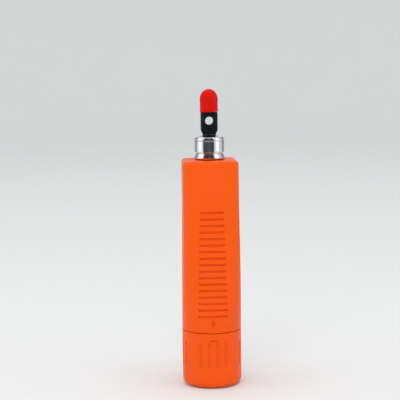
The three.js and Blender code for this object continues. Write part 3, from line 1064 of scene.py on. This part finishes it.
@dataclass
class Blade:
    """Black blade with its shank, its lock pin and its working tip."""

    dress: Wardrobe
    half: float = 4.5
    thick: float = 4.0
    neck: float = 3.65
    shank_low: float = 121.0
    neck_low: float = 134.7
    neck_top: float = 136.0
    shoulder_top: float = 137.9
    hole_height: float = 143.1
    hole: float = 2.15
    tongue_low: float = 147.6
    tongue_half: float = 3.1
    tongue_top: float = 151.0
    slot_half: float = 2.6
    slot_thick: float = 2.7
    slot_low: float = 146.1
    pin_height: float = 129.2
    pin_half: float = 4.7
    rivet_height: float = 148.9
    rivet_half: float = 2.1
    rod: float = 0.8
    rod_hole: float = 1.1
    tip_half: float = 2.3
    tip_low: float = 146.4
    tip_top: float = 156.8
    tip_face: float = 1.05
    grind: float = 1.2
    grind_angle: float = 30.0

    def _rod(self, name: str, radius: float, height: float, reach: Point) -> Workpiece:
        """A round bar through the axis, out to a reach on both sides."""
        middle = Vector((0, 0, height))
        return Workpiece(name).rod(radius, middle - Vector(reach), middle + Vector(reach))

    def build(self) -> None:
        """Makes the blade's body and then the steel pieces that it carries."""
        neck = self.neck - 0.2
        outline = mirrored([
            (neck, self.neck_low), (neck, self.neck_top), (neck + 0.25, self.neck_top + 0.35),
            (self.half - 0.2, self.shoulder_top - 0.15), (self.half, self.shoulder_top + 0.25),
            (self.half, self.tongue_low), (self.tongue_half, self.tongue_low),
            (self.tongue_half, self.tongue_top)])
        body = Workpiece("blade_body_black")
        body.plate([outline, circle((0, self.hole_height), self.hole, 56)],
                   -self.thick / 2, self.thick / 2)
        body.soften(0.15, 3)
        shank = Workpiece("shank").turn_bar(
            oblong(0, self.neck, self.shank_low, self.neck_top), 0.35, 1.0, steps=64)
        body.join(shank)
        slot = Workpiece("slot").block((-self.slot_half, -self.slot_thick / 2, self.slot_low),
                                       (self.slot_half, self.slot_thick / 2, self.tongue_top + 1))
        body.cut(slot)
        for height, reach in ((self.rivet_height, (0, 5, 0)), (self.pin_height, (6, 0, 0))):
            body.cut(self._rod("hole", self.rod_hole, height, reach))
        body.finish(self.dress(BLACK), "blade", BLACK.slot, ["blade_body"], smooth_below=28)
        for name, node, height, reach in (
                ("twist_lock_pin", "blade_pin", self.pin_height, (self.pin_half, 0, 0)),
                ("tip_rivet_bar", "tip_rivet", self.rivet_height, (0, self.rivet_half, 0))):
            bar = self._rod(name, self.rod, height, reach).soften(0.2, 3)
            bar.finish(self.dress(BRIGHT), "blade", BRIGHT.slot, [node])
        self._tip()

    def _tip(self) -> None:
        """The working end: a forked seating tip beside a ground cutter."""
        half, low, high, face = self.tip_half, self.tip_low, self.tip_top, self.tip_face
        fork = mirrored([(half, low), (half, high - 1), (half - 0.4, high), (0.6, high),
                         (0.6, high - 3)])
        rivet_hole = circle((0, self.rivet_height), self.rod_hole, 32)
        seating = Workpiece("seating_fork").plate([fork, rivet_hole], -face, -0.05)
        seating.soften(0.08)
        seating.finish(self.dress(BRIGHT), "blade", BRIGHT.slot, ["seating_tip"])
        cutter = Workpiece("wire_cutter")
        cutter.plate([oblong(-half, half, low, high), rivet_hole], 0.25, face)
        cutter.soften(0.05)
        wedge = Workpiece("wedge").plate([oblong(-4, 4, high - self.grind, high + 1)], face, 2.5)
        pivot = Matrix.Translation((0, face, high - self.grind))
        lean = Matrix.Rotation(math.radians(self.grind_angle), 4, "X")
        wedge.bm.transform(pivot @ lean @ pivot.inverted())
        cutter.cut(wedge)
        cutter.finish(self.dress(BRIGHT), "blade", BRIGHT.slot, ["cut_blade"])


@dataclass
class Guard:
    """Soft cap over the blade's tip, oval in section with a domed end."""

    dress: Wardrobe
    low: float = 147.8
    top: float = 160.0
    half: float = 4.87
    flatten: float = 0.82
    dome: float = 5.6
    edge: float = 0.3
    waist: float = 0.12
    tilt: float = 0.02
    tilt_height: float = 3.0
    cavity_top: float = 157.4
    power: float = 2.25
    dome_power: float = 2.0

    COLUMNS = 96

    @staticmethod
    def _ring(half: float, flatten: float, angle: float, power: float) -> Pair:
        """Point of an oval section, boxier as power grows above 2.

        Args:
            half: half the oval's width.
            flatten: its depth as a share of its width.
            angle: where round it, in radians.
            power: how boxy it is.

        Returns:
            The point's X and Y.
        """
        c, s = math.cos(angle), math.sin(angle)
        reach = (abs(c) ** power + abs(s) ** power) ** (-1 / power)
        return half * reach * c, half * flatten * reach * s

    def _rows(self) -> list[tuple[float, float, float, float]]:
        """The cap's ovals, from the inner end to the outer.

        Returns:
            Half width, height, flatness and power of each.
        """
        rows = [(r, self.cavity_top, 0.6, 3.5) for r in (0.0, 1.3, 2.3, 2.6)]
        rows += [(2.8, self.cavity_top - 0.3, 0.62, 3.6)]
        rows += [(2.85, z, 0.64, 3.6) for z in (156, 154.6)]
        rows += [(3.65, z, 0.74, 3.8) for z in (153.6, 151.5, 149.5, self.low + 0.25)]
        rows += [(3.85, self.low + 0.04, 0.76, 3.2), (4.2, self.low, 0.79, 2.6)]
        rows += [(self.half - self.edge * (1 - s), self.low + self.edge * (1 - c),
                  self.flatten, self.power) for s, c in quarter(5)[1:]]
        side = self.top - self.dome
        for z in spaced(self.low + 1.0, side, 0.7):
            slim = self.waist * math.sin(math.pi * (z - self.low) / (side - self.low))
            rows.append((self.half - slim, z, self.flatten, self.power))
        steps = 14
        for i, (s, c) in enumerate(quarter(steps)[1:], 1):
            power = self.power + (self.dome_power - self.power) * i / steps
            rows.append((self.half * c, side + self.dome * s, self.flatten, power))
        return rows

    def build(self) -> None:
        """Lofts the cap from its inner end to its outer end."""
        rows = self._rows()

        def place(column: int, row: int) -> Point:
            """Point of one row's oval, tilted a little near the cap's lip.

            Args:
                column: column round the cap.
                row: the oval's number.

            Returns:
                The point.
            """
            half, height, flatten, power = rows[row]
            x, y = self._ring(half, flatten, 2 * math.pi * column / self.COLUMNS, power)
            return x, y, height + self.tilt * x * ease((self.low + self.tilt_height - height)
                                                       / self.tilt_height)

        cap = Workpiece("soft_tip_cap").wrap(self.COLUMNS, len(rows) - 1, place)
        cap.finish(self.dress(RED), "guard", RED.slot, ["tip_guard"], smooth_below=60)


@dataclass
class Knob:
    """Fluted rear knob with its pressed end cap and thrust washer."""

    dress: Wardrobe
    radius: float = 16.0
    top: float = 30.1
    fillet: float = 3.5
    edge: float = 0.45
    chamfer: float = 0.3
    wall: float = 4.0
    step: float = 17.5
    wide: float = 13.9
    wide_low: float = 10.5
    bore: float = 13.1
    cap: float = 11.2
    dish: float = 0.35
    post: float = 6.0
    post_top: float = 26.0
    flute_low: float = 11.1
    flute_high: float = 24.9
    flute_half: float = 1.05
    flute_depth: float = 0.62
    flute_step: float = 17.0
    groups: int = 4
    mark_half: float = 2.0
    mark_low: float = 25.8
    mark_high: float = 26.7
    mark_depth: float = 0.3

    # Columns about a flute's middle and about the plain stretch between two
    # groups, in degrees, and rows in from a flute's ends.
    FLUTE_COLUMNS = (0, 0.9, 1.8, 2.6, 3.2, 3.8, 4.6, 6.4, 8.5)
    PLAIN_COLUMNS = (-7, -3.5, 0, 3.5, 7)
    FLUTE_ROWS = (0, 0.25, 0.5, 0.75, 1.0, 1.25)
    # Where a flute's wall starts and how wide it is, as shares of its half width.
    FLUTE_RIM = 1.12
    FLUTE_WALL = 0.8

    def flute_angles(self) -> list[float]:
        """Bearings of the flutes in degrees, in groups of four."""
        return [360 / self.groups * group - 90 + (i - 1.5) * self.flute_step
                for group in range(self.groups) for i in range(4)]

    def _columns(self) -> list[float]:
        """Column bearings in degrees, close together across each flute.

        Returns:
            The bearings in order.
        """
        stops = set()
        for middle in self.flute_angles():
            for offset in self.FLUTE_COLUMNS:
                stops.update((round((middle - offset) % 360, 3), round((middle + offset) % 360, 3)))
        for group in range(self.groups):
            between = 360 / self.groups * (group + 0.5) - 90
            stops.update(round((between + offset) % 360, 3) for offset in self.PLAIN_COLUMNS)
        return sorted(stops)

    def _sink(self, bearing: float, height: float) -> float:
        """Depth of a flute at a bearing and height.

        Args:
            bearing: the bearing in degrees.
            height: the height.

        Returns:
            The depth, 0 between two flutes.
        """
        away = min(abs((bearing - a + 180) % 360 - 180) for a in self.flute_angles())
        across = math.radians(away) * self.radius
        past = max(self.flute_low + self.flute_half - height,
                   height - self.flute_high + self.flute_half, 0.0)
        distance = math.hypot(across, past)
        return self.flute_depth * ease((self.FLUTE_RIM - distance / self.flute_half)
                                       / self.FLUTE_WALL)

    def _rows(self) -> list[Pair]:
        """The shell's closed section.

        Returns:
            Its points (radius, height) in order.
        """
        cut = self.chamfer
        rows = [(self.cap + cut, 0.25), (self.cap + 0.5, 0.0), (self.radius - self.fillet, 0.0)]
        rows += [(self.radius - self.fillet * (1 - s), self.fillet * (1 - c))
                 for s, c in quarter(10)[1:]]
        heights = spaced(5, self.flute_low - 0.4, 1.8)
        heights += [self.flute_low + inward for inward in self.FLUTE_ROWS]
        heights += spaced(self.flute_low + 2.5, self.flute_high - 2.5, 1.8)
        heights += [self.flute_high - inward for inward in reversed(self.FLUTE_ROWS)]
        heights += spaced(self.flute_high + 0.6, self.top - 0.6, 1.5)
        rows += [(self.radius, height) for height in heights]
        rows += [(self.radius - self.edge * (1 - c), self.top - self.edge * (1 - s))
                 for s, c in quarter(4)[1:]]
        rows += [(self.bore + cut, self.top), (self.bore, self.top - cut)]
        rows += [(self.bore, z) for z in (26, 22, self.step + 0.2)]
        rows += [(self.bore + 0.2, self.step), (self.wide, self.step), (self.wide, self.wide_low)]
        rows += [(self.wide, self.wall), (self.cap + cut, self.wall)]
        return rows

    def build(self) -> None:
        """Makes the shell with its index mark, the end cap and the washer."""
        bearings = self._columns()
        rows = self._rows()

        def place(column: int, row: int) -> Point:
            """Section point with the flutes pressed in on the outside.

            Args:
                column: column round the knob.
                row: point of the section.

            Returns:
                The point.
            """
            radius, height = rows[row % len(rows)]
            bearing = bearings[column]
            if radius > self.radius - 0.01:
                radius -= self._sink(bearing, height)
            angle = math.radians(bearing)
            return radius * math.cos(angle), radius * math.sin(angle), height

        shell = Workpiece("fluted_knob").wrap(len(bearings), len(rows), place)
        front = -self.radius
        mark = Workpiece("index_mark").block((-self.mark_half, front - 1, self.mark_low),
                                             (self.mark_half, front + self.mark_depth, self.mark_high))
        shell.cut(mark)
        shell.finish(self.dress(ORANGE), "knob", ORANGE.slot, ["knob_shell"], smooth_below=50)
        self._end_cap()

    def _end_cap(self) -> None:
        """Pressed disc with a shallow dish and a post behind it, and the washer on the post."""
        high = self.wall - 0.8
        profile = [(0, self.dish), (5.5, self.dish), (6.4, 0.0), (self.cap, 0.0), (self.cap, high),
                   (self.post, high), (self.post, self.post_top), (0, self.post_top)]
        cap = Workpiece("knob_disc").turn_bar(profile, 0.3, 1.2, steps=96)
        cap.finish(self.dress(ORANGE), "knob", ORANGE.slot, ["knob_end_cap"], smooth_below=35)
        low = self.post_top + 0.3
        washer = Workpiece("thrust_ring").turn_bar(oblong(3, 8, low, low + 1.2), 0.2, 1.0)
        washer.finish(self.dress(STEEL), "knob", STEEL.slot, ["thrust_washer"])


@dataclass(frozen=True)
class Coil:
    """Sizes of a compression spring, with its end turns counted in."""

    outer: float
    wire: float
    low: float
    high: float
    turns: int


@dataclass
class Mechanism:
    """Everything inside: springs, hammer, latch, cam, ram and seat."""

    dress: Wardrobe
    fill: float = 11.0
    seat_low: float = 27.8
    seat_high: float = 31.8
    hammer_radius: float = 8.3
    hammer_bore: float = 2.9
    hammer_low: float = 66.0
    hammer_high: float = 86.0
    latch_height: float = 78.0
    stem: float = 2.5
    stem_low: float = 80.3
    flange: float = 6.7
    flange_low: float = 103.6
    flange_high: float = 107.6
    holder: float = 5.1
    holder_top: float = 134.4
    socket: float = 3.95
    socket_low: float = 112.0

    MAIN = Coil(outer=8.2, wire=2.0, low=32.1, high=65.7, turns=9)
    RETURN = Coil(outer=4.85, wire=0.9, low=86.3, high=103.3, turns=8)
    FOOT = Coil(outer=2.6, wire=0.7, low=112.3, high=119.6, turns=6)

    def _spring(self, name: str, node: str, body: str, coil: Coil) -> bpy.types.Object:
        """Winds a compression spring with closed end turns.

        Args:
            name: the piece's name.
            node: the frame node it stands for.
            body: the body it rides on.
            coil: the spring's sizes.

        Returns:
            The spring.
        """
        radius = coil.wire / 2
        section = circle((coil.outer - radius, coil.low + radius), radius, 12)
        closed = coil.wire * 1.02
        active = coil.high - coil.low - coil.wire - 2 * closed
        spring = Workpiece(name)
        spring.tube(section, [(1, closed), (coil.turns - 2, active), (1, closed)])
        return spring.finish(self.dress(WIRE), body, WIRE.slot, [node], smooth_below=50)

    def springs(self) -> None:
        """Winds the three springs on the tool's axis."""
        main = self._spring("hammer_spring", "main_spring", "seat", self.MAIN)
        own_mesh(main)
        self._spring("ram_return_spring", "return_spring", "ram", self.RETURN)
        self._spring("blade_foot_spring", "blade_spring", "ram", self.FOOT)

    def rings(self) -> None:
        """Turns the sleeve, the bumper, the cup and the split ring."""
        sleeve = [(8.7, 58), (self.fill, 58), (self.fill, 82), (10.1, 82), (10.1, 76.3), (8.7, 65)]
        bumper = oblong(5.6, self.fill, 86.3, 87.7)
        cup = [(0, 119.9), (2.9, 119.9), (2.9, 117.6), (3.6, 117.6), (3.6, 120.7), (0, 120.7)]
        for name, node, body, finish, profile in (
                ("tapered_sleeve", "cam_sleeve", "handle", STEEL, sleeve),
                ("bumper_washer", "bumper_ring", "handle", URETHANE, bumper),
                ("blade_foot_cup", "blade_cup", "ram", BRIGHT, cup)):
            piece = Workpiece(name).turn_bar(profile, 0.25, 1.5)
            piece.finish(self.dress(finish), body, finish.slot, [node], smooth_below=35)
        ring = Workpiece("snap_ring").turn(rounded(oblong(12.5, 13.6, 13.2, 14.3), 0.2))
        ring.cut(Workpiece("split").block((-2, 0, 12), (2, 20, 16)))
        ring.finish(self.dress(WIRE), "handle", WIRE.slot, ["stop_ring"])

    def ram(self) -> None:
        """Turns the blade holder and cuts its twist lock."""
        profile = [(0, self.stem_low), (self.stem, self.stem_low), (self.stem, self.flange_low),
                   (self.flange, self.flange_low), (self.flange, self.flange_high),
                   (self.holder, self.flange_high), (self.holder, self.holder_top),
                   (self.socket, self.holder_top), (self.socket, self.socket_low),
                   (0, self.socket_low)]
        holder = Workpiece("blade_holder").turn_bar(profile, 0.25, 2.0)
        for start in (-16, 164):
            holder.cut(self._sector(start, 122, 127.9, 130.5))
            holder.cut(self._sector(start + 90, 32, 130.0, 136))
        holder.finish(self.dress(STEEL), "ram", STEEL.slot, ["ram"], smooth_below=32)

    def _sector(self, start: float, sweep: float, low: float, high: float) -> Workpiece:
        """Makes a slice of a thick ring, to cut the holder's wall with.

        Args:
            start: bearing of its first end, in degrees.
            sweep: its angle in degrees.
            low: its lower height.
            high: its upper height.

        Returns:
            The cutter.
        """
        section = oblong(self.socket - 0.5, self.holder + 1, low, high)
        piece = Workpiece("sector").tube(section, [(sweep / 360, 0)], steps=89)
        piece.bm.transform(Matrix.Rotation(math.radians(start), 4, "Z"))
        return piece

    def striker(self) -> None:
        """Makes the hammer, and the latch and its spring that ride in it."""
        profile = oblong(self.hammer_bore, self.hammer_radius, self.hammer_low, self.hammer_high)
        hammer = Workpiece("striking_hammer").turn_bar(profile, 0.5, 2.0, steps=80)
        mid = self.latch_height
        slot = Workpiece("slot").block((-7.6, -3.8, mid - 2.3), (9.5, 3.8, mid + 2.3))
        hammer.cut(slot)
        hammer.finish(self.dress(STEEL), "hammer", STEEL.slot, ["hammer"], smooth_below=32)
        latch = Workpiece("latch_block").block((-5.2, -3.5, mid - 2), (8.9, 3.5, mid + 2))
        latch.soften(0.3, 3)
        cut = Workpiece("hole").rod(2.8, (1.3, 0, mid - 8), (1.3, 0, mid + 12))
        cut.block((-7, -1.6, mid - 1.4), (-2.2, 1.6, mid + 1.4))
        latch.cut(cut)
        latch.finish(self.dress(BRIGHT), "latch", BRIGHT.slot, ["latch"], smooth_below=32)
        radius = 0.225
        small = Workpiece("latch_push_spring")
        small.tube(circle((1.2 - radius, radius - 7.3), radius, 8), [(4, 2.8)], steps=24)
        small.bm.transform(Matrix.Translation((0, 0, mid)) @ Matrix.Rotation(math.pi / 2, 4, "Y"))
        small.finish(self.dress(WIRE), "hammer", WIRE.slot, ["latch_spring"])

    def seat(self) -> None:
        """Makes the keyed seat behind the main spring."""
        low, high, spigot, top = self.seat_low, self.seat_high, 5.5, 36
        profile = [(3, low), (self.fill, low), (self.fill, high), (spigot, high), (spigot, top),
                   (3, top)]
        seat = Workpiece("keyed_seat").turn_bar(profile, 0.3, 1.5)
        keys = Workpiece("keys")
        for near, far in ((-11.8, -9), (9, 11.8)):
            keys.block((-1.2, near, low + 0.1), (1.2, far, high - 0.1))
        seat.join(keys)
        seat.finish(self.dress(STEEL), "seat", STEEL.slot, ["spring_seat"], smooth_below=32)

    def build(self) -> None:
        """Makes every inner piece."""
        self.springs()
        self.rings()
        self.ram()
        self.striker()
        self.seat()


# Studio


@dataclass(frozen=True)
class Viewpoint:
    """Where the camera stands, in metres and degrees."""

    distance: float = 0.650
    elevation: float = 6.8
    azimuth: float = -3.0
    roll: float = -0.8
    aim_height: float = 0.1004
    axis_right: float = 0.0054
    lens: float = 108.5

    def place(self) -> None:
        """Adds the camera and makes it the scene's own."""
        a, e = math.radians(self.azimuth), math.radians(self.elevation)
        right = Vector((math.cos(a), math.sin(a), 0))
        aim = Vector((0, 0, self.aim_height)) - right * self.axis_right
        back = Vector((math.sin(a) * math.cos(e), -math.cos(a) * math.cos(e), math.sin(e)))
        turn = back.to_track_quat("Z", "Y") @ Quaternion((0, 0, 1), math.radians(self.roll))
        data = bpy.data.cameras.new("camera")
        data.lens = self.lens
        data.sensor_width = 36
        data.clip_start = 0.01
        camera = placed("camera", data)
        camera.location = aim + back * self.distance
        camera.rotation_euler = turn.to_euler()
        bpy.context.scene.camera = camera


@dataclass(frozen=True)
class Softbox:
    """One soft light, placed by its bearing from the front towards +X.

    Angles are in degrees and lengths in metres. The glow is how bright the
    box's face is, and sheen says whether reflections show it.
    """

    name: str
    bearing: float
    height: float
    reach: float
    size: Pair
    glow: float
    sheen: bool = True

    # The height that every box is aimed at.
    AIM = 0.09

    def add(self) -> None:
        """Adds the light to the scene, aimed at the tool's middle."""
        data = bpy.data.lights.new(self.name, "AREA")
        data.shape = "RECTANGLE"
        data.size, data.size_y = self.size
        data.energy = self.glow * math.pi * data.size * data.size_y
        light = placed(self.name, data)
        angle = math.radians(self.bearing)
        light.location = (self.reach * math.sin(angle), -self.reach * math.cos(angle), self.height)
        away = light.location - Vector((0, 0, self.AIM))
        light.rotation_euler = away.to_track_quat("Z", "Y").to_euler()
        light.visible_camera = False
        light.visible_glossy = self.sheen


@dataclass(frozen=True)
class Flag:
    """Curved dim card that only reflections see, as a studio hangs one.

    Bearings run from the front towards +X, in degrees. The tones are how
    bright the card looks at its lower and upper edge.
    """

    name: str
    start: float
    end: float
    reach: float
    low: float
    high: float
    tone_low: float
    tone_high: float

    def add(self) -> None:
        """Adds the card round the tool."""
        columns = max(2, round(abs(self.end - self.start) / 3))
        bm = bmesh.new()
        bmesh.ops.create_grid(bm, x_segments=columns, y_segments=1, size=0.5)
        for vert in bm.verts:
            angle = math.radians(self.start + (self.end - self.start) * (vert.co.x + 0.5))
            height = self.low + (self.high - self.low) * (vert.co.y + 0.5)
            vert.co = (self.reach * math.sin(angle), -self.reach * math.cos(angle), height)
        card = meshed(self.name, bm)
        for rays in ("camera", "diffuse", "transmission", "volume_scatter", "shadow"):
            setattr(card, f"visible_{rays}", False)
        card.data.materials.append(self._tone())

    def _tone(self) -> bpy.types.Material:
        """A dim glow that runs from the lower tone to the upper one.

        Returns:
            The material.
        """
        material = bpy.data.materials.new(self.name)
        material.use_nodes = True
        material.node_tree.nodes.clear()
        wiring = Wiring(material.node_tree)
        split = wiring.add("SeparateXYZ", {0: wiring.place()})
        fade = wiring.add("MapRange", {
            "Value": split.outputs["Z"], "From Min": self.low, "From Max": self.high,
            "To Min": self.tone_low, "To Max": self.tone_high})
        glow = wiring.add("Emission", {"Strength": fade.outputs["Result"]})
        wiring.add("OutputMaterial", {"Surface": glow.outputs["Emission"]})
        return material


@dataclass(frozen=True)
class Studio:
    """Pale round sweep, soft lights, and the dim cards that polished metal mirrors."""

    sweep_flat: float = 1.9
    sweep_round: float = 1.0
    sweep_top: float = 2.0
    floor_gap: float = 0.0002
    sky: float = 0.93

    LIGHTS = (
        Softbox("left_box", -80, 0.42, 1.22, (0.85, 1.36), 0.57),
        Softbox("right_box", 62, 0.42, 1.22, (0.68, 1.36), 0.62),
        Softbox("top_box", 0, 1.56, 0.17, (1.36, 1.2), 0.8),
        Softbox("front_box", -12, 0.80, 1.28, (1.0, 0.8), 2.05, sheen=False),
    )
    FLAGS = (
        Flag("front_flag_left", -52, -6, 0.34, 0.0, 0.7, 0.075, 0.012),
        Flag("front_flag_right", 0, 34, 0.34, 0.0, 0.7, 0.075, 0.012),
        Flag("front_slit", -6, 0, 0.35, 0.0, 0.7, 0.16, 0.05),
        Flag("rear_flag_left", -152, -116, 0.5, 0.0, 0.8, 0.34, 0.25),
        Flag("rear_flag_right", 108, 152, 0.5, 0.0, 0.8, 0.34, 0.25),
    )

    def build(self) -> None:
        """Sets the whole studio up."""
        scene = bpy.context.scene
        scene.view_settings.view_transform = "Standard"
        scene.view_settings.look = "None"
        self._world()
        self._sweep()
        for item in (*self.LIGHTS, *self.FLAGS):
            item.add()

    def _world(self) -> None:
        """Even pale surroundings."""
        world = bpy.data.worlds.new("studio")
        world.use_nodes = True
        background = world.node_tree.nodes["Background"]
        Wiring(world.node_tree).feed(background, {"Color": (0.95, 0.97, 1.0, 1),
                                                  "Strength": self.sky})
        bpy.context.scene.world = world

    def _sweep(self) -> None:
        """Pale floor just under the tool's lowest point, curved up into a wall."""
        floor = CAD_BOX[0][2] - self.floor_gap
        profile = [(r, floor) for r in spaced(0, self.sweep_flat, 0.2)]
        profile += [(self.sweep_flat + self.sweep_round * s, floor + self.sweep_round * (1 - c))
                    for s, c in quarter(12)[1:]]
        profile.append((self.sweep_flat + self.sweep_round, self.sweep_top))
        bm = bmesh.new()
        verts = [bm.verts.new((r, 0, z)) for r, z in profile]
        edges = [bm.edges.new(pair) for pair in zip(verts, verts[1:])]
        spin(bm, verts + edges, 2 * math.pi, 96, use_merge=True)
        bmesh.ops.remove_doubles(bm, verts=bm.verts, dist=1e-6)
        bmesh.ops.recalc_face_normals(bm, faces=bm.faces)
        for face in bm.faces:
            face.smooth = True
        sweep = meshed("sweep", bm)
        material = bpy.data.materials.new("pale_sweep")
        material.use_nodes = True
        Wiring(material.node_tree).feed(material.node_tree.nodes["Principled BSDF"], {
            "Base Color": (0.80, 0.80, 0.79, 1), "Roughness": 0.9, "Specular IOR Level": 0.1})
        sweep.data.materials.append(material)


def write_sizes() -> None:
    """Brings the view layer up to date."""
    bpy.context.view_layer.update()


def main() -> None:
    """Builds the studio and every sub-assembly, in order."""
    logging.basicConfig(level=logging.INFO, format="%(name)s %(message)s")
    Viewpoint().place()
    Studio().build()
    dress = Wardrobe()
    for assembly in (Handle(dress), Nose(dress), Blade(dress), Guard(dress), Knob(dress),
                     Mechanism(dress)):
        assembly.build()
    write_sizes()


if __name__ == "__main__":
    main()
